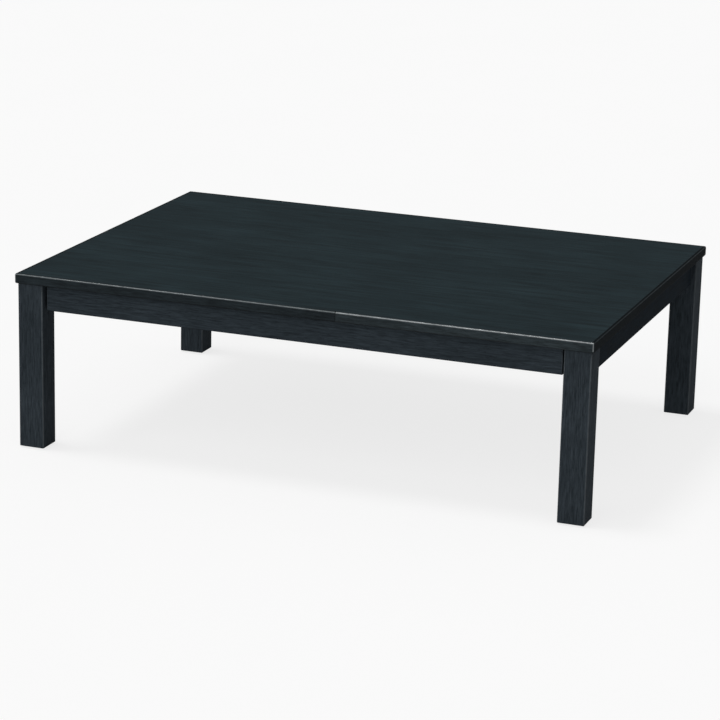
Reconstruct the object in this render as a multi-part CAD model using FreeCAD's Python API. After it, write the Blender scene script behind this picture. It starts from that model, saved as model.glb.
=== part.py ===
import FreeCAD, Part
import os
from math import sqrt

# A low floor table in black-stained wood: a lipped and veneered top on four square legs, with
# aprons set back between them. The aprons stop short of the legs. Each leg is drawn by two
# hanger bolts against a diagonal block that is screwed inside its corner of the aprons.
# Millimetres. X runs along the length, Y along the depth with the front at -Y, and Z up from the floor.

# Whole table
TABLE_LENGTH = 1200.0
TABLE_DEPTH = 850.0
TABLE_HEIGHT = 363.0

# Top: a board core, veneered above, backed below and lipped all round in solid wood
TOP_THICKNESS = 20.0
VENEER_THICKNESS = 0.6
BACKING_THICKNESS = 0.6
LIPPING_WIDTH = 6.0
LIPPING_JOINT = 86.0  # butt joint of the long lippings, off the table's middle
TOP_EDGE_RADIUS = 3.0
TOP_CORNER_EASE = 1.0  # the corners in plan are this much rounder than the edges

# Legs: square, with eased long edges and a small chamfer round the foot
LEG_WIDTH = 54.0
LEG_INSET = 5.0  # outer faces behind the edge of the top
LEG_EDGE_RADIUS = 2.5
FOOT_CHAMFER = 1.0

# Aprons: set back from the legs' outer faces and clear of their sides
APRON_HEIGHT = 53.0
APRON_THICKNESS = 18.0
APRON_SETBACK = 10.0
APRON_LEG_GAP = 5.0
APRON_EDGE_RADIUS = 2.0

# Corner blocks: boards on the diagonal, with both ends cut to seat on the aprons' inner faces
BLOCK_THICKNESS = 22.0
BLOCK_HEIGHT = 45.0
BLOCK_END_MARGIN = 4.0  # apron's end to the near edge of the block's seat
LEG_FLAT_RELIEF = 3.0  # the leg's flat runs on this far below the block

# Small fasteners and the holes that they fill are drawn with few sides
FASTENER_SIDES = 12

# Hanger bolts, one above the other through each block, with their washers and nuts
BOLT_DIAMETER = 8.0
BOLT_IN_LEG = 38.0
BOLT_SPACING = 22.0
BOLT_TAIL = 4.0  # past the nut
BOLT_HOLE_CLEARANCE = 0.5
WASHER_CLEARANCE = 0.2
WASHER_DIAMETER = 18.0
WASHER_THICKNESS = 1.6
SPRING_WASHER_DIAMETER = 14.2
SPRING_WASHER_THICKNESS = 2.0
SPRING_WASHER_SPLIT = 1.5
NUT_ACROSS_FLATS = 13.0
NUT_THICKNESS = 6.5

# Block screws: one in a counterbore at each end of a block, square to the apron
BLOCK_SCREW_DIAMETER = 4.2
BLOCK_SCREW_SEAT = 8.0  # wood of the block under the head
BLOCK_SCREW_BITE = 14.0  # depth in the apron

# Apron screws: up through counterbores in the aprons' lower edges into the top
APRON_SCREW_DIAMETER = 4.5
APRON_SCREW_RECESS = 25.0
APRON_SCREW_BITE = 12.0  # depth in the top
APRON_SCREW_END = 90.0  # apron's end to its first screw
LONG_APRON_SCREWS = 4
SHORT_APRON_SCREWS = 3

# Round heads of the wood screws
SCREW_HEAD_DIAMETER = 8.4
SCREW_HEAD_HEIGHT = 3.0
COUNTERBORE_CLEARANCE = 0.8

# Foot glides: plastic discs, each nailed to the end of a leg
GLIDE_DIAMETER = 24.0
GLIDE_THICKNESS = 3.0
GLIDE_CHAMFER = 0.8
GLIDE_SIDES = 24
NAIL_DIAMETER = 2.2
NAIL_IN_LEG = 14.0
NAIL_HEAD_DIAMETER = 5.0
NAIL_HEAD_THICKNESS = 1.0
NAIL_HEAD_SINK = 0.4
NAIL_HEAD_CLEARANCE = 0.2

# Places that follow from the sizes above
TOP_UNDERSIDE = TABLE_HEIGHT - TOP_THICKNESS
LEG_FACE_X = TABLE_LENGTH / 2 - LEG_INSET
LEG_FACE_Y = TABLE_DEPTH / 2 - LEG_INSET
APRON_BOTTOM = TOP_UNDERSIDE - APRON_HEIGHT
APRON_START = LEG_WIDTH + APRON_LEG_GAP
APRON_INNER = APRON_SETBACK + APRON_THICKNESS
BLOCK_BOTTOM = TOP_UNDERSIDE - BLOCK_HEIGHT
BLOCK_MIDDLE = TOP_UNDERSIDE - BLOCK_HEIGHT / 2
BLOCK_SEAT_START = APRON_START + BLOCK_END_MARGIN
BLOCK_SEAT_END = BLOCK_SEAT_START + BLOCK_THICKNESS * sqrt(2)
BLOCK_SCREW_PLACE = (BLOCK_SEAT_START + BLOCK_SEAT_END) / 2
BOLT_HEIGHTS = (BLOCK_MIDDLE - BOLT_SPACING / 2, BLOCK_MIDDLE + BOLT_SPACING / 2)
LEG_FLAT_AT = (BLOCK_SEAT_START + APRON_INNER) / 2

V = FreeCAD.Vector
ORIGIN = V(0, 0, 0)
UP = V(0, 0, 1)
INWARD = V(1, 1, 0).normalize()  # along a corner's diagonal, towards the middle of the table
NEAR = 0.01  # edges are told apart to this distance

# Corners of the table: the signs of X and Y there, and the turn that points a corner's own
# +X and +Y inwards. A corner's own origin is the outer corner of its leg, on the floor.
CORNERS = {
    "front_left": (-1, -1, 0),
    "front_right": (1, -1, 90),
    "back_right": (1, 1, 180),
    "back_left": (-1, 1, 270),
}

# Sides of the table: the turn from the front, how far out the legs' faces are there, how far the
# legs reach to either hand, and the apron's screws. A side's own X runs along its apron from the
# middle, and its own Y inwards from the legs' outer faces.
LONG_SIDE = {"face": LEG_FACE_Y, "reach": LEG_FACE_X, "screws": LONG_APRON_SCREWS}
SHORT_SIDE = {"face": LEG_FACE_X, "reach": LEG_FACE_Y, "screws": SHORT_APRON_SCREWS}
SIDES = {
    "front": {"turn": 0, **LONG_SIDE},
    "right": {"turn": 90, **SHORT_SIDE},
    "back": {"turn": 180, **LONG_SIDE},
    "left": {"turn": 270, **SHORT_SIDE},
}


def at_corner(shape, corner):
    """The shape moved from a corner's own frame to the table."""
    sign_x, sign_y, turn = CORNERS[corner]
    moved = shape.copy()
    moved.rotate(ORIGIN, UP, turn)
    moved.translate(V(sign_x * LEG_FACE_X, sign_y * LEG_FACE_Y, 0))
    return moved


def at_side(shape, side):
    """The shape moved from a side's own frame to the table."""
    moved = shape.copy()
    moved.translate(V(0, -SIDES[side]["face"], 0))
    moved.rotate(ORIGIN, UP, SIDES[side]["turn"])
    return moved


def half_turn(shape):
    """The shape turned to the opposite side of the table."""
    turned = shape.copy()
    turned.rotate(ORIGIN, UP, 180)
    return turned


def prism(outline, bottom, height):
    """An upright prism on a closed outline of plan points."""
    points = [V(x, y, bottom) for x, y in outline]
    return Part.Face(Part.makePolygon(points + points[:1])).extrude(UP * height)


def upright_edges(shape):
    """The edges that run straight up the piece."""
    return [edge for edge in shape.Edges if edge.Length - edge.BoundBox.ZLength < NEAR]


def level_edges(shape, height):
    """The edges that lie at one height."""
    boxes = [(edge, edge.BoundBox) for edge in shape.Edges]
    return [edge for edge, box in boxes if box.ZMin > height - NEAR and box.ZMax < height + NEAR]


def bar(sides, across_corners, length, start, direction):
    """A bar of regular section along a direction."""
    first = V(across_corners / 2, 0, 0)
    corners = [FreeCAD.Rotation(UP, 360 / sides * i).multVec(first) for i in range(sides)]
    solid = Part.Face(Part.makePolygon(corners + corners[:1])).extrude(UP * length)
    solid.Placement = FreeCAD.Placement(start, FreeCAD.Rotation(UP, direction))
    return solid


def rod(diameter, length, start, direction):
    """A shank, head or washer of a small fastener, which also cuts the hole that it fills."""
    return bar(FASTENER_SIDES, diameter, length, start, direction)


def wood_screw(seat, direction, length, diameter):
    """A wood screw whose head lies behind its seat."""
    head = rod(SCREW_HEAD_DIAMETER, SCREW_HEAD_HEIGHT, seat - direction * SCREW_HEAD_HEIGHT, direction)
    return head.fuse(rod(diameter, length, seat, direction)).removeSplitter()


def counterbore(seat, direction, depth):
    """The recess that a screw's head goes into, from its seat back to the surface."""
    return rod(SCREW_HEAD_DIAMETER + 2 * COUNTERBORE_CLEARANCE, depth, seat - direction * depth, direction)


def top_slab():
    """The whole top with its corners and edges rounded, before it is told apart into layers."""
    corner = V(-TABLE_LENGTH / 2, -TABLE_DEPTH / 2, TOP_UNDERSIDE)
    slab = Part.makeBox(TABLE_LENGTH, TABLE_DEPTH, TOP_THICKNESS, corner)
    slab = slab.makeFillet(TOP_EDGE_RADIUS + TOP_CORNER_EASE, upright_edges(slab))
    outline = level_edges(slab, TOP_UNDERSIDE) + level_edges(slab, TABLE_HEIGHT)
    return slab.makeFillet(TOP_EDGE_RADIUS, outline)


def inside_lipping(bottom, thickness):
    """A layer of the top that fills the frame of lippings."""
    length = TABLE_LENGTH - 2 * LIPPING_WIDTH
    depth = TABLE_DEPTH - 2 * LIPPING_WIDTH
    return Part.makeBox(length, depth, thickness, V(-length / 2, -depth / 2, bottom))


def lippings():
    """Solid-wood strips round the core, mitred at the corners. The long ones are butted in two lengths."""
    frame = top_slab().cut(inside_lipping(TOP_UNDERSIDE, TOP_THICKNESS))
    out_x, out_y = TABLE_LENGTH / 2, TABLE_DEPTH / 2
    in_x, in_y = out_x - LIPPING_WIDTH, out_y - LIPPING_WIDTH
    front_left = [(-out_x, -out_y), (LIPPING_JOINT, -out_y), (LIPPING_JOINT, -in_y), (-in_x, -in_y)]
    front_right = [(LIPPING_JOINT, -out_y), (out_x, -out_y), (in_x, -in_y), (LIPPING_JOINT, -in_y)]
    right = [(out_x, -out_y), (out_x, out_y), (in_x, in_y), (in_x, -in_y)]
    plans = {
        ("lipping_front_left", "lipping_back_right"): front_left,
        ("lipping_front_right", "lipping_back_left"): front_right,
        ("lipping_right", "lipping_left"): right,
    }
    strips = {}
    for (node, opposite), plan in plans.items():
        strips[node] = frame.common(prism(plan, TOP_UNDERSIDE, TOP_THICKNESS))
        strips[opposite] = half_turn(strips[node])
    return strips


def apron_length(side):
    """Clear length of a side's apron, from gap to gap."""
    return 2 * (SIDES[side]["reach"] - APRON_START)


def apron_screw_seats(side):
    """Where the heads of a side's apron screws seat, in the side's own frame."""
    count = SIDES[side]["screws"]
    first = APRON_SCREW_END - apron_length(side) / 2
    pitch = -2 * first / (count - 1)
    middle = APRON_SETBACK + APRON_THICKNESS / 2
    return [V(first + pitch * i, middle, APRON_BOTTOM + APRON_SCREW_RECESS) for i in range(count)]


def apron_screw_length():
    return APRON_HEIGHT - APRON_SCREW_RECESS + APRON_SCREW_BITE


def apron_screw_shanks():
    """All the apron screws' shanks in place, to cut the holes that they fill in the top."""
    shanks = []
    for side in SIDES:
        for seat in apron_screw_seats(side):
            shanks.append(at_side(rod(APRON_SCREW_DIAMETER, apron_screw_length(), seat, UP), side))
    return shanks


def block_screw_seats(side):
    """Where the heads of the block screws seat in the two blocks of a side, in the side's own frame."""
    x = SIDES[side]["reach"] - BLOCK_SCREW_PLACE
    return [V(sign * x, APRON_INNER + BLOCK_SCREW_SEAT, BLOCK_MIDDLE) for sign in (-1, 1)]


def block_screw_length():
    return BLOCK_SCREW_SEAT + BLOCK_SCREW_BITE


def apron(side):
    """An apron with eased lower edges and ends, bored for its screws."""
    length = apron_length(side)
    board = Part.makeBox(length, APRON_THICKNESS, APRON_HEIGHT, V(-length / 2, APRON_SETBACK, APRON_BOTTOM))
    outer_ends = [edge for edge in upright_edges(board) if edge.BoundBox.YMax < APRON_SETBACK + NEAR]
    lower = [edge for edge in level_edges(board, APRON_BOTTOM) if edge.BoundBox.XLength > NEAR]
    board = board.makeFillet(APRON_EDGE_RADIUS, outer_ends + lower)
    for seat in apron_screw_seats(side):
        board = board.cut(rod(APRON_SCREW_DIAMETER, apron_screw_length(), seat, UP))
        board = board.cut(counterbore(seat, UP, APRON_SCREW_RECESS))
    for seat in block_screw_seats(side):
        board = board.cut(rod(BLOCK_SCREW_DIAMETER, block_screw_length(), seat, V(0, -1, 0)))
    return board


def on_bolt(depth, height):
    """A point on a hanger bolt's axis, by its depth in from the leg's flat."""
    return V(LEG_FLAT_AT, LEG_FLAT_AT, height) + INWARD * depth


def leg():
    """A leg in its corner's own frame, with a flat on its inner corner that seats on the block."""
    length = TOP_UNDERSIDE - GLIDE_THICKNESS
    post = Part.makeBox(LEG_WIDTH, LEG_WIDTH, length, V(0, 0, GLIDE_THICKNESS))
    post = post.makeFillet(LEG_EDGE_RADIUS, upright_edges(post))
    post = post.makeChamfer(FOOT_CHAMFER, level_edges(post, GLIDE_THICKNESS))
    near = 2 * LEG_FLAT_AT - APRON_START
    beyond_flat = [(near, APRON_START), (APRON_START, near), (APRON_START, APRON_START)]
    post = post.cut(prism(beyond_flat, BLOCK_BOTTOM - LEG_FLAT_RELIEF, BLOCK_HEIGHT + LEG_FLAT_RELIEF))
    for height in BOLT_HEIGHTS:
        post = post.cut(rod(BOLT_DIAMETER, BOLT_IN_LEG, on_bolt(-BOLT_IN_LEG, height), INWARD))
    foot = V(LEG_WIDTH / 2, LEG_WIDTH / 2, GLIDE_THICKNESS)
    return post.cut(rod(NAIL_DIAMETER, NAIL_IN_LEG, foot, UP))


def corner_block():
    """A diagonal block in its corner's own frame, bored for the bolts and counterbored for its screws."""
    plan = [
        (BLOCK_SEAT_START, APRON_INNER),
        (BLOCK_SEAT_END, APRON_INNER),
        (APRON_INNER, BLOCK_SEAT_END),
        (APRON_INNER, BLOCK_SEAT_START),
    ]
    block = prism(plan, BLOCK_BOTTOM, BLOCK_HEIGHT)
    bolt_hole = BOLT_DIAMETER + 2 * BOLT_HOLE_CLEARANCE
    for height in BOLT_HEIGHTS:
        block = block.cut(rod(bolt_hole, BLOCK_THICKNESS, on_bolt(0, height), INWARD))
    deep = BLOCK_SEAT_END - APRON_INNER
    seats = (
        (V(BLOCK_SCREW_PLACE, APRON_INNER + BLOCK_SCREW_SEAT, BLOCK_MIDDLE), V(0, -1, 0)),
        (V(APRON_INNER + BLOCK_SCREW_SEAT, BLOCK_SCREW_PLACE, BLOCK_MIDDLE), V(-1, 0, 0)),
    )
    for seat, direction in seats:
        block = block.cut(rod(BLOCK_SCREW_DIAMETER, block_screw_length(), seat, direction))
        block = block.cut(counterbore(seat, direction, deep))
    return block


def ring(diameter, thickness, start):
    """A washer on a bolt's axis."""
    bore = BOLT_DIAMETER + 2 * WASHER_CLEARANCE
    return rod(diameter, thickness, start, INWARD).cut(rod(bore, thickness, start, INWARD))


def hanger_bolt(height):
    """A bolt that is screwed into the leg and carries its nut inside the block."""
    stack = BLOCK_THICKNESS + WASHER_THICKNESS + SPRING_WASHER_THICKNESS + NUT_THICKNESS + BOLT_TAIL
    return rod(BOLT_DIAMETER, BOLT_IN_LEG + stack, on_bolt(-BOLT_IN_LEG, height), INWARD)


def washer(height):
    """A flat washer on the block's inner face."""
    return ring(WASHER_DIAMETER, WASHER_THICKNESS, on_bolt(BLOCK_THICKNESS, height))


def spring_washer(height):
    """A split ring between the flat washer and the nut."""
    start = on_bolt(BLOCK_THICKNESS + WASHER_THICKNESS, height)
    split = Part.makeBox(SPRING_WASHER_DIAMETER, SPRING_WASHER_SPLIT, SPRING_WASHER_THICKNESS)
    split.translate(V(0, -SPRING_WASHER_SPLIT / 2, 0))
    split.Placement = FreeCAD.Placement(start, FreeCAD.Rotation(UP, INWARD)).multiply(split.Placement)
    return ring(SPRING_WASHER_DIAMETER, SPRING_WASHER_THICKNESS, start).cut(split)


def nut(height):
    """A hexagon nut on the spring washer."""
    start = on_bolt(BLOCK_THICKNESS + WASHER_THICKNESS + SPRING_WASHER_THICKNESS, height)
    hexagon = bar(6, NUT_ACROSS_FLATS * 2 / sqrt(3), NUT_THICKNESS, start, INWARD)
    return hexagon.cut(rod(BOLT_DIAMETER, NUT_THICKNESS, start, INWARD))


def glide():
    """A plastic disc under the leg, chamfered to slide and recessed for its nail's head."""
    middle = V(LEG_WIDTH / 2, LEG_WIDTH / 2, 0)
    disc = bar(GLIDE_SIDES, GLIDE_DIAMETER, GLIDE_THICKNESS, middle, UP)
    disc = disc.makeChamfer(GLIDE_CHAMFER, level_edges(disc, 0))
    disc = disc.cut(rod(NAIL_DIAMETER, GLIDE_THICKNESS, middle, UP))
    recess = NAIL_HEAD_DIAMETER + 2 * NAIL_HEAD_CLEARANCE
    return disc.cut(rod(recess, NAIL_HEAD_SINK + NAIL_HEAD_THICKNESS, middle, UP))


def glide_nail():
    """A flat-headed nail up through the glide into the leg."""
    middle = V(LEG_WIDTH / 2, LEG_WIDTH / 2, NAIL_HEAD_SINK)
    head = rod(NAIL_HEAD_DIAMETER, NAIL_HEAD_THICKNESS, middle, UP)
    shank = rod(NAIL_DIAMETER, GLIDE_THICKNESS - NAIL_HEAD_SINK + NAIL_IN_LEG, middle, UP)
    return head.fuse(shank).removeSplitter()


def export(node, shapes):
    """Write one piece, or a group of like pieces, as a node of the table."""
    solids = [solid for shape in shapes for solid in shape.Solids]
    whole = solids[0] if len(solids) == 1 else Part.makeCompound(solids)
    whole.exportStep(f"parts/{node}.step")


os.makedirs("parts", exist_ok=True)

core_thickness = TOP_THICKNESS - VENEER_THICKNESS - BACKING_THICKNESS
core = inside_lipping(TOP_UNDERSIDE + BACKING_THICKNESS, core_thickness)
backing = inside_lipping(TOP_UNDERSIDE, BACKING_THICKNESS)
top_holes = apron_screw_shanks()
export("top_core", [core.cut(top_holes)])
export("top_backing", [backing.cut(top_holes)])
export("top_veneer", [inside_lipping(TABLE_HEIGHT - VENEER_THICKNESS, VENEER_THICKNESS)])
for node, strip in lippings().items():
    export(node, [strip])

for corner in CORNERS:
    export("leg_" + corner, [at_corner(leg(), corner)])
    export("corner_block_" + corner, [at_corner(corner_block(), corner)])
    export("glide_" + corner, [at_corner(glide(), corner)])

for side in SIDES:
    export("apron_" + side, [at_side(apron(side), side)])

bolt_sets = {
    "hanger_bolts": hanger_bolt,
    "flat_washers": washer,
    "spring_washers": spring_washer,
    "hex_nuts": nut,
}
for node, make in bolt_sets.items():
    export(node, [at_corner(make(height), corner) for corner in CORNERS for height in BOLT_HEIGHTS])
export("glide_nails", [at_corner(glide_nail(), corner) for corner in CORNERS])

block_screws = []
apron_screws = []
for side in SIDES:
    for seat in block_screw_seats(side):
        screw = wood_screw(seat, V(0, -1, 0), block_screw_length(), BLOCK_SCREW_DIAMETER)
        block_screws.append(at_side(screw, side))
    for seat in apron_screw_seats(side):
        screw = wood_screw(seat, UP, apron_screw_length(), APRON_SCREW_DIAMETER)
        apron_screws.append(at_side(screw, side))
export("block_screws", block_screws)
export("apron_screws", apron_screws)
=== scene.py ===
import math

import bmesh
import bpy
from mathutils import Matrix, Vector


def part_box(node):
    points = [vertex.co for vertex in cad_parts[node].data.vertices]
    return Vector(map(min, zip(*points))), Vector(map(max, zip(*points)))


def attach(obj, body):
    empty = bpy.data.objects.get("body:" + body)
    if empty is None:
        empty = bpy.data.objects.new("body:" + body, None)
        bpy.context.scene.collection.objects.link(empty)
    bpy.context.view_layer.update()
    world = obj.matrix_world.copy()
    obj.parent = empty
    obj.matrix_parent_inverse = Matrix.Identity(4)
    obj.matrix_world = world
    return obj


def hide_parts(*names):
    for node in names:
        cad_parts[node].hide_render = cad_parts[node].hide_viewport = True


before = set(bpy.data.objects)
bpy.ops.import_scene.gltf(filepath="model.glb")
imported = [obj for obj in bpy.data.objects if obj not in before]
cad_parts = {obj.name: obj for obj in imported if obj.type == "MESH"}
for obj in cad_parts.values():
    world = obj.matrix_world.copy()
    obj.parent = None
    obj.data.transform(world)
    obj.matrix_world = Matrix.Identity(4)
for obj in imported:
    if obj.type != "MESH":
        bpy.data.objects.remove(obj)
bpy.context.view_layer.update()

# Board core: the flat body of the top, wood fibres pressed hot with resin and sawn to size.
# The veneer, the backing sheet and the lippings cover it on every side.
MM = 0.001
# Most values of a noise pattern lie in this span.
NOISE_SPAN = {"From Min": 0.3, "From Max": 0.7}
# Sockets of a Mix node for colours: the second colour's share, the two colours, and the result.
SHARE = 0
FIRST = 6
SECOND = 7
MIXED = 2


def linear(hex_colour):
    """An sRGB hex colour as linear red, green, blue and alpha."""
    channels = [int(hex_colour[i : i + 2], 16) / 255 for i in (1, 3, 5)]
    return [c / 12.92 if c <= 0.04045 else ((c + 0.055) / 1.055) ** 2.4 for c in channels] + [1]


def add_node(tree, kind, inputs, output=0, **settings):
    """Add a shader node with its settings, give each input a value or a link, and hand on an output."""
    node = tree.nodes.new("ShaderNode" + kind)
    for setting, value in settings.items():
        setattr(node, setting, value)
    for socket, value in inputs.items():
        if isinstance(value, bpy.types.NodeSocket):
            tree.links.new(value, node.inputs[socket])
        else:
            node.inputs[socket].default_value = value
    return node.outputs[output] if node.outputs else None


def new_material(name):
    """An empty material, and the tree that its surface is drawn in."""
    material = bpy.data.materials.new(name)
    material.use_nodes = True
    tree = material.node_tree
    tree.nodes.clear()
    return material, tree


def pressed_fibre_board():
    """Raw fibre board: short fibres felted every way, so a dull even brown with paler flecks. Real
    fibres are as thin as hair, so the flecks are drawn coarser to show."""
    clump = 9 * MM
    fleck = 1.2 * MM
    fuzz = 0.1 * MM
    material, tree = new_material("pressed_fibre_board")
    place = add_node(tree, "TexCoord", {}, "Object")
    clumps = add_node(tree, "TexNoise", {"Vector": place, "Scale": 1 / clump, "Detail": 3})
    flecks = add_node(tree, "TexNoise", {"Vector": place, "Scale": 1 / fleck, "Detail": 2})
    tone = add_node(tree, "MapRange", {"Value": clumps, **NOISE_SPAN})
    colour = {SHARE: tone, FIRST: linear("#7d6147"), SECOND: linear("#94765a")}
    colour = add_node(tree, "Mix", colour, MIXED, data_type="RGBA")
    tone = add_node(tree, "MapRange", {"Value": flecks, "From Min": 0.55, "From Max": 0.75})
    colour = {SHARE: tone, FIRST: colour, SECOND: linear("#b39a7c")}
    colour = add_node(tree, "Mix", colour, MIXED, data_type="RGBA")
    bump = add_node(tree, "Bump", {"Strength": 0.4, "Distance": fuzz, "Height": flecks})
    shader = {"Base Color": colour, "Roughness": 0.85, "Normal": bump}
    shader = add_node(tree, "BsdfPrincipled", shader)
    add_node(tree, "OutputMaterial", {"Surface": shader})
    return material


def dress(node, material):
    """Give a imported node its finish."""
    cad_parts[node].material_slots[0].material = material


dress("top_core", pressed_fibre_board())

# Backing sheet: a dark resin-soaked paper glued under the core, so that the board stays flat.
# It is rolled on in one piece and trimmed at the lippings.
def balancing_paper():
    """Resin-soaked kraft paper, pressed dull: near black, with faint clouds and short paper fibres,
    which are drawn coarser than their real few hundredths of a millimetre to show."""
    cloud = 55 * MM
    fibre_length = 4 * MM
    fibre_width = 0.8 * MM
    fibre_height = 0.05 * MM
    material, tree = new_material("balancing_paper")
    place = add_node(tree, "TexCoord", {}, "Object")
    clouds = add_node(tree, "TexNoise", {"Vector": place, "Scale": 1 / cloud, "Detail": 4})
    lie = {"Vector": place, "Scale": (fibre_length, fibre_width, fibre_width)}
    lie = add_node(tree, "Mapping", lie, vector_type="TEXTURE")
    fibres = add_node(tree, "TexNoise", {"Vector": lie, "Scale": 1, "Detail": 3})
    tone = add_node(tree, "MapRange", {"Value": clouds, **NOISE_SPAN})
    colour = {SHARE: tone, FIRST: linear("#1c1b1b"), SECOND: linear("#272524")}
    colour = add_node(tree, "Mix", colour, MIXED, data_type="RGBA")
    tone = {"Value": fibres, "From Min": 0.58, "From Max": 0.8, "To Max": 0.5}
    tone = add_node(tree, "MapRange", tone)
    colour = {SHARE: tone, FIRST: colour, SECOND: linear("#3a3632")}
    colour = add_node(tree, "Mix", colour, MIXED, data_type="RGBA")
    roughness = {"Value": clouds, **NOISE_SPAN, "To Min": 0.6, "To Max": 0.72}
    roughness = add_node(tree, "MapRange", roughness)
    bump = add_node(tree, "Bump", {"Strength": 0.25, "Distance": fibre_height, "Height": fibres})
    shader = {"Base Color": colour, "Roughness": roughness, "Normal": bump}
    shader = add_node(tree, "BsdfPrincipled", shader)
    add_node(tree, "OutputMaterial", {"Surface": shader})
    return material


dress("top_backing", balancing_paper())

# Face veneer: a thin sheet of straight-grained wood, glued to the core with its grain along the top,
# sanded, stained black and sprayed with satin lacquer. Its rim is eased where it meets the lippings.
VENEER_RIM = 0.15 * MM
ALONG_X = (0, 0, 0)
UP = Vector((0, 0, 1))
# A face or edge is square to a direction when the cosine between them is above this.
SQUARE_ON = 0.999
# A rounding is painted dark, as shade under its edge, where the height of its normal is below this.
LOOKS_DOWN = -0.1
# The turn of a normal at which a rounding is marked most: worn and painted with a highlight above,
# painted with shade below.
MOST_MARKED = math.pi / 4


def stained_wood(name, tones, turn, start_mm, streak_mm, pores, dull, rubbed, shine):
    """Black stain and satin lacquer on straight-grained wood: fine streaks and dark open pores along
    the grain, soft clouds where the stain took more or less, arrises paler and smoother from wear and
    with a painted highlight, and painted shade darkening lower edges, as well as dark joints. Real
    streaks and pores are a few tenths of a millimetre wide, so they are drawn ten or more times as
    coarse to show. The tones are those of the dark streaks, the light ones and the arrises, worn and
    painted with a highlight; dull and rubbed are the roughness of the lacquer and of those arrises,
    and shine is the specular level."""
    dark, light, worn_and_highlight = (linear(tone) for tone in tones)
    # Near black for open pores, also used as painted shade under lower edges and in joints.
    pore_and_shade_black = linear("#0a0c0d")
    bend_length = 220 * MM
    bend_width = 6 * MM
    cloud = 140 * MM
    rubbed_patch = 14 * MM
    pore_depth = 0.06 * MM
    # How many fine streaks, and how many pores, go to one broad streak.
    fine_to_streak = 2.9
    pore_to_streak = 3.3
    dull_spread = 0.05
    material, tree = new_material(name)
    place = add_node(tree, "TexCoord", {}, "Object")
    place = {0: place, 1: [part * MM for part in start_mm]}
    place = add_node(tree, "VectorMath", place, operation="ADD")
    bends = {"Vector": place, "Scale": 1 / bend_length, "Detail": 2}
    bends = add_node(tree, "TexNoise", bends, "Color")
    bent = {0: bends, 1: [bend_width] * 3, 2: place}
    bent = add_node(tree, "VectorMath", bent, operation="MULTIPLY_ADD")
    lie = {"Vector": bent, "Rotation": turn, "Scale": [part * MM for part in streak_mm]}
    lie = add_node(tree, "Mapping", lie, vector_type="TEXTURE")
    streaks = add_node(tree, "TexNoise", {"Vector": lie, "Scale": 1, "Detail": 5, "Roughness": 0.62})
    fine = add_node(tree, "TexNoise", {"Vector": lie, "Scale": fine_to_streak, "Detail": 3})
    clouds = add_node(tree, "TexNoise", {"Vector": bent, "Scale": 1 / cloud, "Detail": 3})
    pits = add_node(tree, "TexNoise", {"Vector": lie, "Scale": pore_to_streak, "Detail": 2})
    pits = add_node(tree, "MapRange", {"Value": pits, "From Min": 0.6, "From Max": 0.72})
    tone = add_node(tree, "MapRange", {"Value": streaks, "From Min": 0.28, "From Max": 0.72})
    colour = {SHARE: tone, FIRST: dark, SECOND: light}
    colour = add_node(tree, "Mix", colour, MIXED, data_type="RGBA")
    tone = {"Value": fine, "From Min": 0.35, "From Max": 0.75, "To Max": 0.35}
    tone = add_node(tree, "MapRange", tone)
    colour = {SHARE: tone, FIRST: colour, SECOND: light}
    colour = add_node(tree, "Mix", colour, MIXED, data_type="RGBA")
    tone = add_node(tree, "MapRange", {"Value": clouds, **NOISE_SPAN, "To Max": 0.3})
    colour = {SHARE: tone, FIRST: colour, SECOND: dark}
    colour = add_node(tree, "Mix", colour, MIXED, data_type="RGBA")
    tone = add_node(tree, "Math", {0: pits, 1: pores}, operation="MULTIPLY")
    colour = {SHARE: tone, FIRST: colour, SECOND: pore_and_shade_black}
    colour = add_node(tree, "Mix", colour, MIXED, data_type="RGBA")
    # Painted shade: where the mark is below zero, roundings that look down and eased joints are
    # darkened.
    wear_and_shade = add_node(tree, "Attribute", {}, "Fac", attribute_name="wear_and_shade")
    tone = {"Value": wear_and_shade, "From Min": -0.1, "From Max": -0.6, "To Max": 0.8}
    tone = add_node(tree, "MapRange", tone)
    colour = {SHARE: tone, FIRST: colour, SECOND: pore_and_shade_black}
    colour = add_node(tree, "Mix", colour, MIXED, data_type="RGBA")
    # Wear and painted highlight: where the mark is above zero, arrises take the pale tone in patches.
    patches = add_node(tree, "TexNoise", {"Vector": bent, "Scale": 1 / rubbed_patch, "Detail": 3})
    patches = add_node(tree, "MapRange", {"Value": patches, **NOISE_SPAN, "To Min": 0.5})
    tone = add_node(tree, "Math", {0: wear_and_shade, 1: patches}, operation="MULTIPLY", use_clamp=True)
    colour = {SHARE: tone, FIRST: colour, SECOND: worn_and_highlight}
    colour = add_node(tree, "Mix", colour, MIXED, data_type="RGBA")
    roughness = {"Value": streaks, "From Min": 0.25, "From Max": 0.75}
    roughness |= {"To Min": dull - dull_spread, "To Max": dull + dull_spread}
    roughness = add_node(tree, "MapRange", roughness)
    tone = add_node(tree, "MapRange", {"Value": wear_and_shade, "From Min": 0.15, "From Max": 0.5})
    roughness = add_node(tree, "Mix", {0: tone, 2: roughness, 3: rubbed}, data_type="FLOAT")
    relief = add_node(tree, "Math", {0: streaks, 1: 0.35, 2: pits}, operation="MULTIPLY_ADD")
    bump = {"Strength": 0.35, "Distance": pore_depth, "Height": relief}
    bump = add_node(tree, "Bump", bump, invert=True)
    shader = {"Base Color": colour, "Roughness": roughness, "Normal": bump}
    shader |= {"IOR": 1.48, "Specular IOR Level": shine}
    shader = add_node(tree, "BsdfPrincipled", shader)
    add_node(tree, "OutputMaterial", {"Surface": shader})
    return material


def box_between(low, high):
    """A box with its corners at two points."""
    bm = bmesh.new()
    size = Matrix.Diagonal((*(high - low), 1))
    bmesh.ops.create_cube(bm, size=1, matrix=Matrix.Translation((low + high) / 2) @ size)
    return bm


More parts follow.
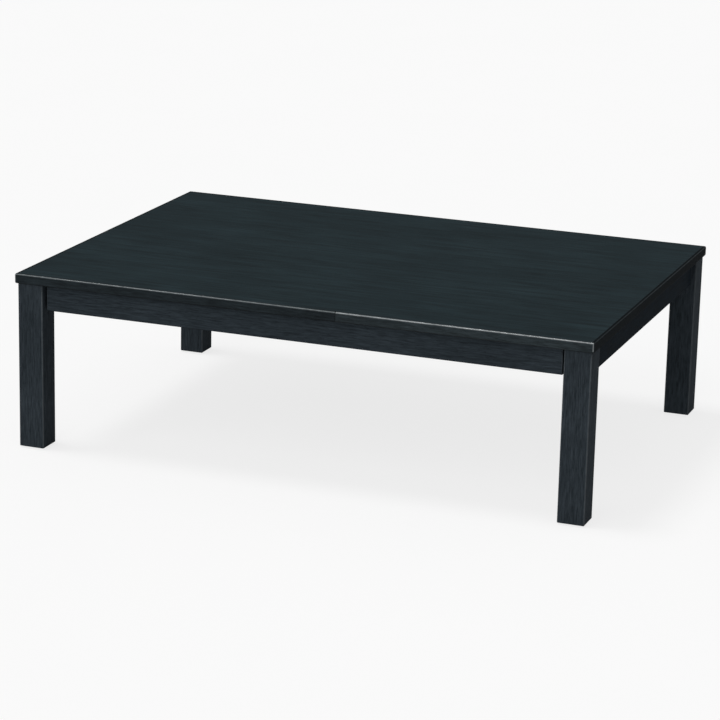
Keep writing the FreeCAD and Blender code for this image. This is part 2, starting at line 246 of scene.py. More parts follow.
def ease(bm, edges, radius, segments):
    """Round some edges, with smooth shading on the rounding alone, and hand on its faces."""
    made = bmesh.ops.bevel(
        bm,
        geom=edges,
        offset=radius,
        offset_type="OFFSET",
        affect="EDGES",
        segments=segments,
        profile=0.5,
        material=-1,
    )
    for face in made["faces"]:
        face.smooth = segments > 1
    bm.normal_update()
    return made["faces"]


def face_edges(bm, direction):
    """The edges round each face that looks one way."""
    bm.normal_update()
    faces = [face for face in bm.faces if face.normal.dot(direction) > SQUARE_ON]
    return list(dict.fromkeys(edge for face in faces for edge in face.edges))


def finish_piece(bm, name, material, slot, *nodes, sheltered=()):
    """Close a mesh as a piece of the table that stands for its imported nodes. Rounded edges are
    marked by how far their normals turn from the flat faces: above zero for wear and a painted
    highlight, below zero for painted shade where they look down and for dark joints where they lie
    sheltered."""
    bm.normal_update()
    wear_and_shade = bm.loops.layers.float.new("wear_and_shade")
    for face in bm.faces:
        if max(abs(part) for part in face.normal) > SQUARE_ON:
            rub_and_shade = 0
        # Painted shade: roundings that look down are marked below zero, and so are sheltered joints.
        elif face.normal.z < LOOKS_DOWN or face in sheltered:
            rub_and_shade = -1
        else:
            rub_and_shade = 1
        for corner in face.loops:
            turn = math.acos(min(1, max(abs(part) for part in corner.vert.normal)))
            corner[wear_and_shade] = rub_and_shade * min(1, turn / MOST_MARKED) ** 2
    mesh = bpy.data.meshes.new(name)
    bm.to_mesh(mesh)
    bm.free()
    mesh.materials.append(material)
    piece = bpy.data.objects.new(name, mesh)
    bpy.context.scene.collection.objects.link(piece)
    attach(piece, "root")
    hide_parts(*nodes)


sheet = box_between(*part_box("top_veneer"))
ease(sheet, face_edges(sheet, UP), VENEER_RIM, segments=2)
veneer_finish = stained_wood(
    "black_stained_veneer",
    tones=("#121a1d", "#2b3a3f", "#3a484c"),
    turn=ALONG_X,
    start_mm=(0, 0, 0),
    streak_mm=(150, 6.5, 6.5),
    pores=0.3,
    dull=0.7,
    rubbed=0.4,
    shine=0.05,
)
finish_piece(sheet, "face_veneer_sheet", veneer_finish, "face_veneer", "top_veneer")

# Lippings: solid strips glued round the board and mitred at its corners, the long ones butted
# in two lengths, then moulded round above and below and stained with the top.
TOP_EDGE = 3 * MM
TOP_CORNER = 4 * MM
JOINT_EASE = 0.8 * MM
ALONG_Y = (0, 0, math.pi / 2)
# Each strip's grain starts this much further on than that of the strip before it.
STRIP_START_MM = (310, 90, 40)
DULL = 0.85
# Long strips: their arrises are painted pale, as wear and as a painted highlight.
LONG_EDGE = {"tones": ("#080d10", "#272f33", "#8f9698"), "rubbed": 0.15, "shine": 0.12}
# Painted light: the front right strip is painted lighter, its upper arris much paler as a painted
# highlight.
HIGHLIGHTED_EDGE = {"tones": ("#0b1215", "#353e42", "#bfc4c6"), "rubbed": 0.12, "shine": 0.16}
# Painted shade: the end strips are painted darker than the long ones, with dim arrises.
SHADED_END_EDGE = {"tones": ("#080c0f", "#151b1e", "#363d40"), "rubbed": 0.5, "shine": 0.04}
LIPPING_FINISH = {
    "front_left": LONG_EDGE,
    "front_right": HIGHLIGHTED_EDGE,
    "right": SHADED_END_EDGE,
    "back_right": LONG_EDGE,
    "back_left": LONG_EDGE,
    "left": SHADED_END_EDGE,
}


def upright_edges(bm):
    """The edges that stand straight up."""
    runs = [(edge, (edge.verts[0].co - edge.verts[1].co).normalized()) for edge in bm.edges]
    return [edge for edge, run in runs if abs(run.z) > SQUARE_ON]


def moulded_slab(low, high):
    """The whole top, with its corners rounded in plan and its edges rounded above and below."""
    bm = box_between(low, high)
    ease(bm, upright_edges(bm), TOP_CORNER, segments=6)
    ease(bm, face_edges(bm, UP) + face_edges(bm, -UP), TOP_EDGE, segments=6)
    return bm


def saw(bm, point, normal):
    """Saw off what lies beyond a plane and close the cut."""
    everything = bm.verts[:] + bm.edges[:] + bm.faces[:]
    cut = bmesh.ops.bisect_plane(bm, geom=everything, plane_co=point, plane_no=normal, clear_outer=True)
    rim = [part for part in cut["geom_cut"] if isinstance(part, bmesh.types.BMEdge)]
    return bmesh.ops.holes_fill(bm, edges=rim, sides=0)["faces"]


boxes = {part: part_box("lipping_" + part) for part in LIPPING_FINISH}
top_low = Vector([min(low[i] for low, high in boxes.values()) for i in range(3)])
top_high = Vector([max(high[i] for low, high in boxes.values()) for i in range(3)])
for number, part in enumerate(LIPPING_FINISH):
    low, high = boxes[part]
    across = 1 if high.x - low.x > high.y - low.y else 0
    along = 1 - across
    outward = Vector((0, 0, 0))
    outward[across] = math.copysign(1, low[across])
    onward = Vector((0, 0, 0))
    onward[along] = 1
    strip = moulded_slab(top_low, top_high)
    inner_face = high if outward[across] < 0 else low
    saw(strip, inner_face, -outward)
    for end in (-1, 1):
        corner = outward * top_high[across] + onward * end * top_high[along]
        saw(strip, corner, onward * end - outward)
    butt = []
    if part in ("front_left", "back_left"):
        butt = saw(strip, high, onward)
    elif part in ("front_right", "back_right"):
        butt = saw(strip, low, -onward)
    joint = ease(strip, [edge for face in butt for edge in face.edges], JOINT_EASE, segments=2)
    strip_finish = stained_wood(
        "black_stained_lipping_" + part,
        turn=ALONG_X if along == 0 else ALONG_Y,
        start_mm=[start * number for start in STRIP_START_MM],
        streak_mm=(30, 3.2, 3.2),
        pores=0.45,
        dull=DULL,
        **LIPPING_FINISH[part],
    )
    finish_piece(
        strip, "lipping_strip_" + part, strip_finish, "lipping_wood", "lipping_" + part, sheltered=joint
    )

# Aprons: planed boards under the top, set back from the legs and stopped short of them. Their
# lower edges are rounded, and screws go up through counterbores in those edges into the top.
APRON_EDGE = 2 * MM
COUNTERBORE = 5 * MM
COUNTERBORE_DEPTH = 25 * MM
HOLE_SIDES = 28
SCREW_END = 90 * MM
APRON_SCREWS = {"front": 4, "right": 3, "back": 4, "left": 3}
LONG_TONES = ("#181d21", "#363e44", "#444a4f")
# Painted shade: the short aprons are painted darker than the long ones.
SHADED_SHORT_TONES = ("#060b0f", "#18222a", "#262f35")
APRON_TONES = {"front": LONG_TONES, "right": SHADED_SHORT_TONES, "back": LONG_TONES, "left": SHADED_SHORT_TONES}
OUTWARD = {
    "front": Vector((0, -1, 0)),
    "right": Vector((1, 0, 0)),
    "back": Vector((0, 1, 0)),
    "left": Vector((-1, 0, 0)),
}


def apron_screw_places(side):
    """Where a side's apron screws come up, at the height of the apron's lower edge."""
    low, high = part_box("apron_" + side)
    middle = (low + high) / 2
    middle.z = low.z
    along = 0 if high.x - low.x > high.y - low.y else 1
    reach = (high[along] - low[along]) / 2 - SCREW_END
    count = APRON_SCREWS[side]
    places = []
    for i in range(count):
        place = middle.copy()
        place[along] += reach * (2 * i / (count - 1) - 1)
        places.append(place)
    return places


def face_towards(bm, direction):
    """The largest face that looks one way."""
    bm.normal_update()
    faces = [face for face in bm.faces if face.normal.dot(direction) > SQUARE_ON]
    return max(faces, key=lambda face: face.calc_area())


def facing(place, direction):
    """A place turned so that its own z axis points one way."""
    return Matrix.Translation(place) @ direction.to_track_quat("Z", "Y").to_matrix().to_4x4()


def sink(bm, rim, into, taper=1.0):
    """Draw the rim of an opening down into a blind hole with a flat floor."""
    wall = bmesh.ops.extrude_edge_only(bm, edges=rim)["geom"]
    floor_verts = [part for part in wall if isinstance(part, bmesh.types.BMVert)]
    middle = sum((vert.co for vert in floor_verts), Vector()) / len(floor_verts)
    bmesh.ops.scale(bm, verts=floor_verts, vec=[taper] * 3, space=Matrix.Translation(-middle))
    bmesh.ops.translate(bm, verts=floor_verts, vec=into)
    for part in wall:
        if isinstance(part, bmesh.types.BMFace):
            part.smooth = True
    floor_rim = [part for part in wall if isinstance(part, bmesh.types.BMEdge) and part.is_boundary]
    bmesh.ops.edgeloop_fill(bm, edges=floor_rim)


def bore(bm, face, places, radius, depth):
    """Sink round holes into a flat face."""
    outward = face.normal.copy()
    outline = list(face.edges)
    bmesh.ops.delete(bm, geom=[face], context="FACES_ONLY")
    rims = []
    for place in places:
        mouth = facing(place, outward)
        circle = bmesh.ops.create_circle(bm, segments=HOLE_SIDES, radius=radius, matrix=mouth)
        rims.append(list(dict.fromkeys(edge for vert in circle["verts"] for edge in vert.link_edges)))
    rim_edges = [edge for rim in rims for edge in rim]
    bmesh.ops.triangle_fill(bm, edges=outline + rim_edges, normal=outward)
    for rim in rims:
        sink(bm, rim, -outward * depth)
    bmesh.ops.recalc_face_normals(bm, faces=bm.faces)


for side, outward in OUTWARD.items():
    low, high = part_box("apron_" + side)
    board = box_between(low, high)
    below = face_edges(board, -UP)
    lower = [edge for way in (outward, -outward) for edge in face_edges(board, way) if edge in below]
    ends = [edge for edge in upright_edges(board) if edge in face_edges(board, outward)]
    ease(board, lower + ends, APRON_EDGE, segments=4)
    bore(board, face_towards(board, -UP), apron_screw_places(side), COUNTERBORE, COUNTERBORE_DEPTH)
    apron_finish = stained_wood(
        "black_stained_apron_" + side,
        tones=APRON_TONES[side],
        turn=ALONG_X if outward.y else ALONG_Y,
        start_mm=(150, 60, 500),
        streak_mm=(40, 3.4, 3.4),
        pores=0.5,
        dull=DULL,
        rubbed=0.5,
        shine=0.04,
    )
    finish_piece(board, "apron_board_" + side, apron_finish, "apron_wood", "apron_" + side)

# Apron screws: pan-head wood screws with a cross recess, headed and thread-rolled from steel wire and
# zinc plated. They are driven up to the floors of the counterbores and bite in the board.
APRON_SCREW = 4.5 * MM
APRON_SCREW_LENGTH = 40 * MM
SCREW_POINT = 6 * MM
# Pitch, root radius and crest radius of a wood screw's thread, as shares of its diameter.
SCREW_PITCH = 0.45
SCREW_ROOT = 0.33
SCREW_CREST = 0.5
# Radii and heights of a head's outline, and one arm of its cross recess.
HEAD_OUTLINE_MM = ((0, 0), (4.0, 0), (4.2, -0.2), (4.2, -1.3), (3.95, -2.1), (3.4, -2.7), (2.7, -3.0))
RECESS_ARM_MM = ((2.1, -0.5), (2.1, 0.5), (0.5, 0.5))
RECESS_DEPTH = 1.9 * MM
RECESS_TAPER = 0.35
THREAD_STEPS = 24
WELD = 0.001 * MM
THREAD_WELD = 0.01 * MM
# Edges that turn by less than this are shaded smooth.
SMOOTH_TURN = math.radians(35)


def zinc_plated_steel():
    """Bright zinc on steel: a cool silver with soft cloudy patches from the bath, a faint straw tint
    from the rinse after it, and fine pits that dull the shine, drawn coarser than real ones to show."""
    cloud = 5 * MM
    pit = 0.5 * MM
    pit_depth = 0.03 * MM
    material, tree = new_material("zinc_plated_steel")
    place = add_node(tree, "TexCoord", {}, "Object")
    clouds = add_node(tree, "TexNoise", {"Vector": place, "Scale": 1 / cloud, "Detail": 4})
    pits = add_node(tree, "TexNoise", {"Vector": place, "Scale": 1 / pit, "Detail": 2})
    tone = add_node(tree, "MapRange", {"Value": clouds, **NOISE_SPAN})
    colour = {SHARE: tone, FIRST: linear("#a9afb4"), SECOND: linear("#cbcdc6")}
    colour = add_node(tree, "Mix", colour, MIXED, data_type="RGBA")
    roughness = {"Value": pits, "From Min": 0.35, "From Max": 0.7, "To Min": 0.26, "To Max": 0.44}
    roughness = add_node(tree, "MapRange", roughness)
    bump = add_node(tree, "Bump", {"Strength": 0.2, "Distance": pit_depth, "Height": pits})
    shader = {"Base Color": colour, "Metallic": 1.0, "Roughness": roughness, "Normal": bump}
    shader = add_node(tree, "BsdfPrincipled", shader)
    add_node(tree, "OutputMaterial", {"Surface": shader})
    return material


def turned(outline_mm, steps):
    """A shape turned from its outline of radii and heights. An outline that leaves the axis alone is
    closed on itself into a ring."""
    bm = bmesh.new()
    verts = [bm.verts.new((radius * MM, 0, height * MM)) for radius, height in outline_mm]
    edges = [bm.edges.new(pair) for pair in zip(verts, verts[1:])]
    if outline_mm[0][0]:
        edges.append(bm.edges.new((verts[-1], verts[0])))
    bmesh.ops.spin(
        bm, geom=verts + edges, cent=(0, 0, 0), axis=UP, angle=math.tau, steps=steps, use_merge=True
    )
    bmesh.ops.remove_doubles(bm, verts=bm.verts, dist=WELD)
    bmesh.ops.recalc_face_normals(bm, faces=bm.faces)
    return bm


def threaded_bar(pitch, root, crest, end, tip, tip_share):
    """A bar up from the origin with a rolled thread, tapered over its tip to a share of its radius."""
    bm = bmesh.new()
    run_in = 2
    ridge = ((root, 0.0), (root, 0.42), (crest, 0.66), (crest, 0.76), (root, 1.0))
    verts = [bm.verts.new((radius, 0, (share - run_in) * pitch)) for radius, share in ridge]
    edges = [bm.edges.new(pair) for pair in zip(verts, verts[1:])]
    turns = math.ceil(end / pitch) + run_in + 1
    bmesh.ops.spin(
        bm,
        geom=verts + edges,
        cent=(0, 0, 0),
        axis=UP,
        dvec=UP * pitch / THREAD_STEPS,
        angle=math.tau * turns,
        steps=THREAD_STEPS * turns,
        use_merge=False,
    )
    bmesh.ops.remove_doubles(bm, verts=bm.verts, dist=THREAD_WELD)
    saw(bm, (0, 0, 0), -UP)
    saw(bm, UP * end, UP)
    for vert in bm.verts:
        left = min(1, (end - vert.co.z) / tip)
        share = tip_share + (1 - tip_share) * left
        vert.co.x *= share
        vert.co.y *= share
    bmesh.ops.remove_doubles(bm, verts=bm.verts, dist=WELD)
    bmesh.ops.recalc_face_normals(bm, faces=bm.faces)
    return bm


def gather(parts):
    """One mesh from several, each with the place that it goes to, shaded smooth between its edges."""
    group = bmesh.new()
    for bm, place in parts:
        shape = bpy.data.meshes.new("shape")
        bm.to_mesh(shape)
        before = len(group.verts)
        group.from_mesh(shape)
        group.verts.ensure_lookup_table()
        bmesh.ops.transform(group, matrix=place, verts=group.verts[before:])
        bpy.data.meshes.remove(shape)
    for face in group.faces:
        face.smooth = True
    for edge in group.edges:
        edge.smooth = edge.calc_face_angle(math.pi) < SMOOTH_TURN
    return group


def wood_screw(diameter, length):
    """A pan-head wood screw with its seat at the origin and its point upwards."""
    head = turned(HEAD_OUTLINE_MM, steps=28)
    rim = [edge for edge in head.edges if edge.is_boundary]
    top = rim[0].verts[0].co.z
    cross = []
    for quarter in range(4):
        turn = Matrix.Rotation(quarter * math.pi / 2, 3, "Z")
        for x, y in RECESS_ARM_MM:
            cross.append(head.verts.new(turn @ Vector((x * MM, y * MM, top))))
    slots = [head.edges.new(pair) for pair in zip(cross, cross[1:] + cross[:1])]
    bmesh.ops.triangle_fill(head, edges=rim + slots, normal=-UP)
    sink(head, slots, UP * RECESS_DEPTH, RECESS_TAPER)
    bmesh.ops.recalc_face_normals(head, faces=head.faces)
    shank = threaded_bar(
        pitch=SCREW_PITCH * diameter,
        root=SCREW_ROOT * diameter,
        crest=SCREW_CREST * diameter,
        end=length,
        tip=SCREW_POINT,
        tip_share=0,
    )
    return gather([(head, Matrix()), (shank, Matrix())])


steel = zinc_plated_steel()
screw = wood_screw(APRON_SCREW, APRON_SCREW_LENGTH)
places = [place + UP * COUNTERBORE_DEPTH for side in OUTWARD for place in apron_screw_places(side)]
screws = gather([(screw, Matrix.Translation(place)) for place in places])
finish_piece(screws, "apron_wood_screws", steel, "zinc_steel", "apron_screws")

# Corner blocks: hardwood sawn to short blocks with mitred ends, one across the inside of each corner
# of the aprons. They are bored for the bolts and the screws, and only brushed with thin stain.
CORNERS = {"front_left": (-1, -1), "front_right": (1, -1), "back_right": (1, 1), "back_left": (-1, 1)}
for corner, (side_x, side_y) in CORNERS.items():
    block_finish = stained_wood(
        "thin_stained_block_" + corner,
        tones=("#1d1916", "#3a322b", "#4a4038"),
        turn=(0, 0, -side_x * side_y * math.pi / 4),
        start_mm=(0, 0, 0),
        streak_mm=(90, 2.6, 2.6),
        pores=0.5,
        dull=0.75,
        rubbed=0.6,
        shine=0.15,
    )
    dress("corner_block_" + corner, block_finish)

# Block screws: the same kind of screw, shorter and thinner, one through each end of a block into the
# apron. Their heads lie in pockets that are drilled square to the apron.
BLOCK_SCREW = 4.2 * MM
BLOCK_SCREW_LENGTH = 22 * MM
# A head's seat, along the apron and square to it, from the leg's outer corner.
BLOCK_SCREW_ALONG = 78.56 * MM
BLOCK_SCREW_SEAT = 36 * MM


def leg_corner(corner):
    """The outer corner of a leg, at the floor."""
    low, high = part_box("leg_" + corner)
    side_x, side_y = CORNERS[corner]
    return Vector((high.x if side_x > 0 else low.x, high.y if side_y > 0 else low.y, 0))


def block_middle(corner):
    """The height of the middle of a block."""
    low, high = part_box("corner_block_" + corner)
    return UP * (low.z + high.z) / 2


screw = wood_screw(BLOCK_SCREW, BLOCK_SCREW_LENGTH)
places = []
for corner, (side_x, side_y) in CORNERS.items():
    start = leg_corner(corner) + block_middle(corner)
    to_x = Vector((side_x, 0, 0))
    to_y = Vector((0, side_y, 0))
    places.append(facing(start - to_x * BLOCK_SCREW_ALONG - to_y * BLOCK_SCREW_SEAT, to_y))
    places.append(facing(start - to_y * BLOCK_SCREW_ALONG - to_x * BLOCK_SCREW_SEAT, to_x))
screws = gather([(screw, place) for place in places])
finish_piece(screws, "block_wood_screws", steel, "zinc_steel", "block_screws")

# Legs: square posts of solid wood, planed and sanded, with eased arrises and a chamfer round the
# foot. Each has a flat across the top of its inner corner, which seats on the corner block.
LEG_EDGE = 2.5 * MM
FOOT_CHAMFER = 1 * MM
# The flat's distance along the diagonal from the leg's outer corner, and its height from the floor.
FLAT_AT = 91 / math.sqrt(2) * MM
FLAT_BOTTOM = 295 * MM
BOLT_RADIUS = 4 * MM
BOLT_IN_LEG = 38 * MM
BOLT_APART = 22 * MM
NAIL_RADIUS = 1.1 * MM
NAIL_IN_LEG = 14 * MM
UPRIGHT = (0, -math.pi / 2, 0)
# The post's arrises turn by more than this, and the edges of its flat by less.
ARRIS_TURN = math.radians(60)
SAME_PLANE = 0.01
leg_finish = stained_wood(
    "black_stained_leg",
    tones=("#171d21", "#394046", "#4a5054"),
    turn=UPRIGHT,
    start_mm=(0, 0, 0),
    streak_mm=(30, 2.8, 2.8),
    pores=0.45,
    dull=DULL,
    rubbed=0.4,
    shine=0.05,
)


def inward_at(corner):
    """The direction along a corner's diagonal into the table."""
    side_x, side_y = CORNERS[corner]
    return Vector((-side_x, -side_y, 0)).normalized()


def bolt_places(corner, reach):
    """Places on a corner's two bolts, as far along the diagonal as asked, looking into the table."""
    inward = inward_at(corner)
    middle = leg_corner(corner) + block_middle(corner) + inward * reach
    return [facing(middle + UP * rise, inward) for rise in (-BOLT_APART / 2, BOLT_APART / 2)]


def raise_faces(bm, faces, height):
    """Extrude faces upwards."""
    raised = bmesh.ops.extrude_face_region(bm, geom=faces)["geom"]
    verts = [part for part in raised if isinstance(part, bmesh.types.BMVert)]
    bmesh.ops.translate(bm, verts=verts, vec=UP * height)
    return [part for part in raised if isinstance(part, bmesh.types.BMFace)]


for corner in CORNERS:
    low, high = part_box("leg_" + corner)
    inward = inward_at(corner)
    foot = (low + high) / 2
    foot.z = low.z
    post = bmesh.new()
    plan = Matrix.Translation(foot) @ Matrix.Diagonal((high.x - low.x, high.y - low.y, 1, 1))
    bmesh.ops.create_grid(post, x_segments=1, y_segments=1, size=0.5, matrix=plan)
    on_flat = leg_corner(corner) + inward * FLAT_AT
    everything = post.verts[:] + post.edges[:] + post.faces[:]
    bmesh.ops.bisect_plane(post, geom=everything, plane_co=on_flat, plane_no=inward)
    shoulders = raise_faces(post, post.faces[:], FLAT_BOTTOM - low.z)
    outer = [face for face in shoulders if (face.calc_center_median() - on_flat).dot(inward) < 0]
    raise_faces(post, outer, high.z - FLAT_BOTTOM)
    bmesh.ops.delete(post, geom=outer, context="FACES_ONLY")
    bmesh.ops.recalc_face_normals(post, faces=post.faces)
    bmesh.ops.dissolve_limit(post, angle_limit=SAME_PLANE, verts=post.verts, edges=post.edges)
    arrises = [edge for edge in upright_edges(post) if edge.calc_face_angle() > ARRIS_TURN]
    ease(post, arrises, LEG_EDGE, segments=5)
    ease(post, face_edges(post, -UP), FOOT_CHAMFER, segments=1)
    bolt_holes = [place.translation for place in bolt_places(corner, FLAT_AT)]
    bore(post, face_towards(post, inward), bolt_holes, BOLT_RADIUS, BOLT_IN_LEG)
    bore(post, face_towards(post, -UP), [foot], NAIL_RADIUS, NAIL_IN_LEG)
    finish_piece(post, "leg_post_" + corner, leg_finish, "leg_wood", "leg_" + corner)

# Hanger bolts: steel rod with a wood thread that is driven into the leg's flat and a machine thread
# that passes the block, both rolled, and zinc plated. Two to a leg draw it hard against its block.
BLOCK_THICKNESS = 22 * MM
WASHER_THICKNESS = 1.6 * MM
SPRING_THICKNESS = 2 * MM
NUT_THICKNESS = 6.5 * MM
BOLT_TAIL = 4 * MM
BOLT_CREST = 3.95 * MM
HALF_TURN = Matrix.Rotation(math.pi, 4, "X")
seat_at = FLAT_AT + BLOCK_THICKNESS
spring_at = seat_at + WASHER_THICKNESS
nut_at = spring_at + SPRING_THICKNESS
machine_end = threaded_bar(
    pitch=1.25 * MM,
    root=3.35 * MM,
    crest=BOLT_CREST,
    end=nut_at + NUT_THICKNESS + BOLT_TAIL - FLAT_AT,
    tip=1.1 * MM,
    tip_share=0.78,
)
wood_end = threaded_bar(
    pitch=3.4 * MM,
    root=2.9 * MM,
    crest=BOLT_CREST,
    end=BOLT_IN_LEG,
    tip=8 * MM,
    tip_share=0,
)
bolt = gather([(machine_end, Matrix()), (wood_end, HALF_TURN)])
bolts = gather([(bolt, place) for corner in CORNERS for place in bolt_places(corner, FLAT_AT)])
finish_piece(bolts, "hanger_bolt_set", steel, "zinc_steel", "hanger_bolts")

# Flat washers: rings punched from sheet, with one rim rolled over by the punch, and zinc plated.
# Each spreads a nut's pull over the soft wood of the block.
WASHER_OUTLINE_MM = (
    (4.2, 0.2), (4.35, 0), (8.7, 0), (8.9, 0.1), (9.0, 0.35),
    (9.0, 1.5), (8.9, 1.6), (4.35, 1.6), (4.2, 1.4),
)
washer = turned(WASHER_OUTLINE_MM, steps=36)
washers = gather([(washer, place) for corner in CORNERS for place in bolt_places(corner, seat_at)])
finish_piece(washers, "flat_washer_set", steel, "zinc_steel", "flat_washers")

# Spring washers: square wire coiled to one turn and cut through, hardened and zinc plated. The nut
# has pressed them flat, so only the split shows.
SPRING_INSIDE = 4.15 * MM
SPRING_OUTSIDE = 7.1 * MM
SPRING_SPLIT = 1.5 * MM
SPRING_EDGE = 0.25 * MM
SPRING_STEPS = 40
wire_low = Vector((SPRING_INSIDE, 0, 0))
wire_high = Vector((SPRING_OUTSIDE, 0, SPRING_THICKNESS))
spring = bmesh.new()
section = Matrix.Translation((wire_low + wire_high) / 2) @ Matrix.Rotation(math.pi / 2, 4, "X")
section = section @ Matrix.Diagonal((SPRING_OUTSIDE - SPRING_INSIDE, SPRING_THICKNESS, 1, 1))
bmesh.ops.create_grid(spring, x_segments=1, y_segments=1, size=0.5, matrix=section)
bmesh.ops.bevel(
    spring,
    geom=spring.verts[:],
    offset=SPRING_EDGE,
    offset_type="OFFSET",
    affect="VERTICES",
    segments=2,
    profile=0.5,
    material=-1,
)
bmesh.ops.spin(
    spring,
    geom=spring.verts[:] + spring.edges[:] + spring.faces[:],
    cent=(0, 0, 0),
    axis=UP,
    angle=math.tau - 2 * SPRING_SPLIT / (SPRING_INSIDE + SPRING_OUTSIDE),
    steps=SPRING_STEPS,
    use_merge=False,
)
bmesh.ops.recalc_face_normals(spring, faces=spring.faces)
springs = gather([(spring, place) for corner in CORNERS for place in bolt_places(corner, spring_at)])
finish_piece(springs, "spring_washer_set", steel, "zinc_steel", "spring_washers")

# Hexagon nuts: forged from bar, chamfered at both ends, tapped and zinc plated. They draw the legs
# up and come off again when the table is taken down.
NUT_FLAT = 6.5 * MM
NUT_FACE = 6.1 * MM
NUT_CHAMFER = math.radians(30)
NUT_SIDE = math.radians(60)
NUT_OUTLINE_MM = (
    (4.05, 0.4), (4.4, 0), (6.1, 0), (7.0, 0.5),
    (7.0, 6.0), (6.1, 6.5), (4.4, 6.5), (4.05, 6.1),
)
nut = turned(NUT_OUTLINE_MM, steps=48)
for vert in nut.verts:
    radius = vert.co.xy.length
    if radius > NUT_FLAT:
        from_flat = (math.atan2(vert.co.y, vert.co.x) + NUT_SIDE / 2) % NUT_SIDE - NUT_SIDE / 2
        side = NUT_FLAT / math.cos(from_flat)
        chamfer = (side - NUT_FACE) * math.tan(NUT_CHAMFER)
        vert.co.xy *= side / radius
        vert.co.z = chamfer if vert.co.z < NUT_THICKNESS / 2 else NUT_THICKNESS - chamfer
nuts = gather([(nut, place) for corner in CORNERS for place in bolt_places(corner, nut_at)])
finish_piece(nuts, "hexagon_nut_set", steel, "zinc_steel", "hex_nuts")

# Glides: round feet moulded from black polyethylene, with a rounded rim and a sunk middle for the
# nail. They hold the legs' ends off a wet floor and let the table slide.
GLIDE_OUTLINE_MM = (
    (1.15, 3.0), (12.0, 3.0), (12.0, 1.0), (11.85, 0.5), (11.5, 0.15), (11.0, 0.0),
    (3.3, 0.0), (2.9, 0.1), (2.75, 0.35), (2.75, 1.4), (1.15, 1.4),
)


def moulded_polyethylene():
    """Moulded polyethylene: a waxy soft black with the mould's fine spark texture, drawn coarser than
    its real tenth of a millimetre to show, and grey scuffs where the rim rubs the floor."""
    spark = 0.6 * MM
    spark_depth = 0.05 * MM
    scuff = 3 * MM
    material, tree = new_material("moulded_polyethylene")
    place = add_node(tree, "TexCoord", {}, "Object")
    sparks = add_node(tree, "TexNoise", {"Vector": place, "Scale": 1 / spark, "Detail": 2})
    scuffs = add_node(tree, "TexNoise", {"Vector": place, "Scale": 1 / scuff, "Detail": 4})
    scuffs = add_node(tree, "MapRange", {"Value": scuffs, "From Min": 0.45, "From Max": 0.7})
    wear_and_shade = add_node(tree, "Attribute", {}, "Fac", attribute_name="wear_and_shade")
    tone = add_node(tree, "MapRange", {"Value": sparks, **NOISE_SPAN})
    colour = {SHARE: tone, FIRST: linear("#131415"), SECOND: linear("#1c1d1e")}
    colour = add_node(tree, "Mix", colour, MIXED, data_type="RGBA")
    tone = add_node(tree, "Math", {0: wear_and_shade, 1: scuffs}, operation="MULTIPLY")
    colour = {SHARE: tone, FIRST: colour, SECOND: linear("#4a4a49")}
    colour = add_node(tree, "Mix", colour, MIXED, data_type="RGBA")
    roughness = {"Value": sparks, **NOISE_SPAN, "To Min": 0.42, "To Max": 0.56}
    roughness = add_node(tree, "MapRange", roughness)
    bump = add_node(tree, "Bump", {"Strength": 0.3, "Distance": spark_depth, "Height": sparks})
    shader = {"Base Color": colour, "Roughness": roughness, "IOR": 1.51, "Normal": bump}
    shader = add_node(tree, "BsdfPrincipled", shader)
    add_node(tree, "OutputMaterial", {"Surface": shader})
    return material


def glide_place(corner):
    """The middle of a glide's sole."""
    low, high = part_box("glide_" + corner)
    middle = (low + high) / 2
    middle.z = 0
    return Matrix.Translation(middle)


plastic = moulded_polyethylene()
for corner in CORNERS:
    disc = gather([(turned(GLIDE_OUTLINE_MM, steps=48), glide_place(corner))])
    finish_piece(disc, "foot_glide_" + corner, plastic, "glide_plastic", "glide_" + corner)

# Glide nails: flat-headed wire nails, one driven through the middle of each glide into the end grain
# of the leg, with its head sunk below the sole.
NAIL_OUTLINE_MM = (
    (0, 0.4), (2.1, 0.4), (2.4, 0.55), (2.5, 0.8), (2.4, 1.25),
    (2.2, 1.4), (1.1, 1.4), (1.1, 14.0), (0, 17.0),
)
nail = turned(NAIL_OUTLINE_MM, steps=20)
nails = gather([(nail, glide_place(corner)) for corner in CORNERS])
finish_piece(nails, "glide_nail_set", steel, "zinc_steel", "glide_nails")

# Floor, studio light and camera: a pale seamless floor, even white light all round, wide soft lights
# low at the front and overhead, and a long lens at the angle of the photograph.
FLOOR_REACH = 40.0
FLOOR_WHITE = 0.78
LENS = 138.08
SENSOR = 36.0
CAMERA_PLACE = (1.91516, -5.17554, 1.72119)
CAMERA_TURN = math.radians(20.5)
CAMERA_DOWN = math.radians(15.92)
CAMERA_ROLL = math.radians(1.35)


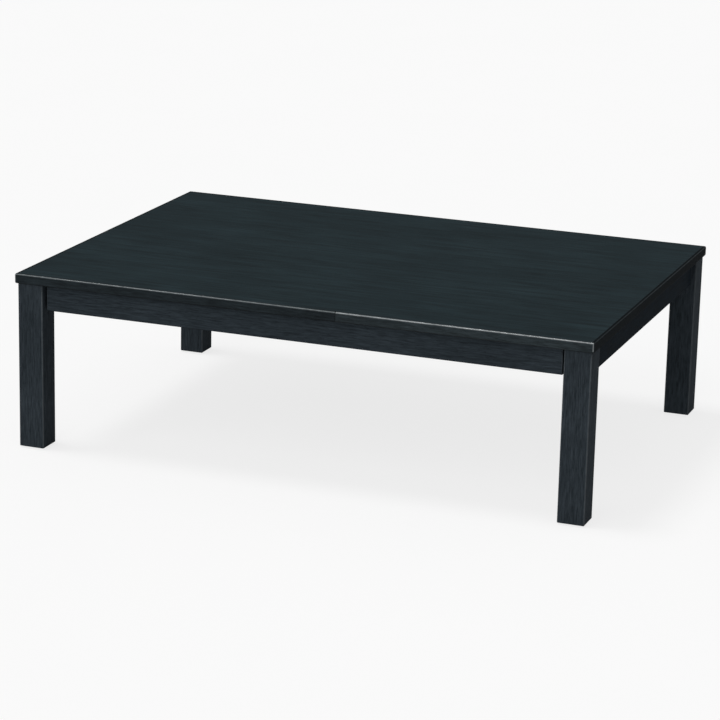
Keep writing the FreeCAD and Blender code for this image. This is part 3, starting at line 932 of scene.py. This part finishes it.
def pale_floor():
    """White studio paper: even and dull. Its own white for the camera and for reflections lifts the
    shadow a little, and from below it is clear, so that the underside of the table can be seen."""
    cloud = 400 * MM
    material, tree = new_material("white_studio_paper")
    place = add_node(tree, "TexCoord", {}, "Object")
    clouds = add_node(tree, "TexNoise", {"Vector": place, "Scale": 1 / cloud, "Detail": 2})
    colour = {SHARE: clouds, FIRST: linear("#f5f5f5"), SECOND: linear("#f9f9f9")}
    colour = add_node(tree, "Mix", colour, MIXED, data_type="RGBA")
    lit = {"Base Color": colour, "Roughness": 0.9, "Specular IOR Level": 0.1}
    lit = add_node(tree, "BsdfPrincipled", lit)
    white = add_node(tree, "Emission", {"Color": (1, 1, 1, 1), "Strength": 1.0})
    camera_ray = add_node(tree, "LightPath", {}, "Is Camera Ray")
    glossy_ray = add_node(tree, "LightPath", {}, "Is Glossy Ray")
    clear_ray = add_node(tree, "LightPath", {}, "Is Transmission Ray")
    seen = add_node(tree, "Math", {0: camera_ray, 1: glossy_ray}, operation="MAXIMUM")
    seen = add_node(tree, "Math", {0: seen, 1: clear_ray}, operation="MAXIMUM")
    seen = add_node(tree, "Math", {0: seen, 1: FLOOR_WHITE}, operation="MULTIPLY")
    paper = add_node(tree, "MixShader", {0: seen, 1: lit, 2: white})
    underside = add_node(tree, "NewGeometry", {}, "Backfacing")
    clear = add_node(tree, "BsdfTransparent", {})
    surface = add_node(tree, "MixShader", {0: underside, 1: paper, 2: clear})
    add_node(tree, "OutputMaterial", {"Surface": surface})
    return material


def studio_light(name, strength, towards, width_degrees):
    """A wide lamp far away, shining one way."""
    lamp = bpy.data.lights.new(name, "SUN")
    lamp.energy = strength
    lamp.angle = math.radians(width_degrees)
    light = bpy.data.objects.new(name, lamp)
    light.matrix_world = facing(-Vector(towards), -Vector(towards))
    bpy.context.scene.collection.objects.link(light)


paper_roll = bmesh.new()
bmesh.ops.create_grid(paper_roll, x_segments=1, y_segments=1, size=FLOOR_REACH)
floor_mesh = bpy.data.meshes.new("studio_floor")
paper_roll.to_mesh(floor_mesh)
paper_roll.free()
floor_mesh.materials.append(pale_floor())
floor = bpy.data.objects.new("studio_floor", floor_mesh)
bpy.context.scene.collection.objects.link(floor)

studio_light("key_light", strength=1.1, towards=(0.15, 0.78, -0.45), width_degrees=64)
studio_light("overhead_light", strength=1.2, towards=(0.337, 0.05, -0.94), width_degrees=18)
world = bpy.data.worlds.new("studio")
world.use_nodes = True
world.node_tree.nodes["Background"].inputs["Color"].default_value = linear("#9a9a9a")
bpy.context.scene.world = world

lens = bpy.data.cameras.new("camera")
lens.lens = LENS
lens.sensor_width = SENSOR
camera = bpy.data.objects.new("camera", lens)
camera.matrix_world = (
    Matrix.Translation(CAMERA_PLACE)
    @ Matrix.Rotation(CAMERA_TURN, 4, "Z")
    @ Matrix.Rotation(math.pi / 2 - CAMERA_DOWN, 4, "X")
    @ Matrix.Rotation(CAMERA_ROLL, 4, "Z")
)
bpy.context.scene.collection.objects.link(camera)
bpy.context.scene.camera = camera
bpy.context.scene.view_settings.view_transform = "Standard"
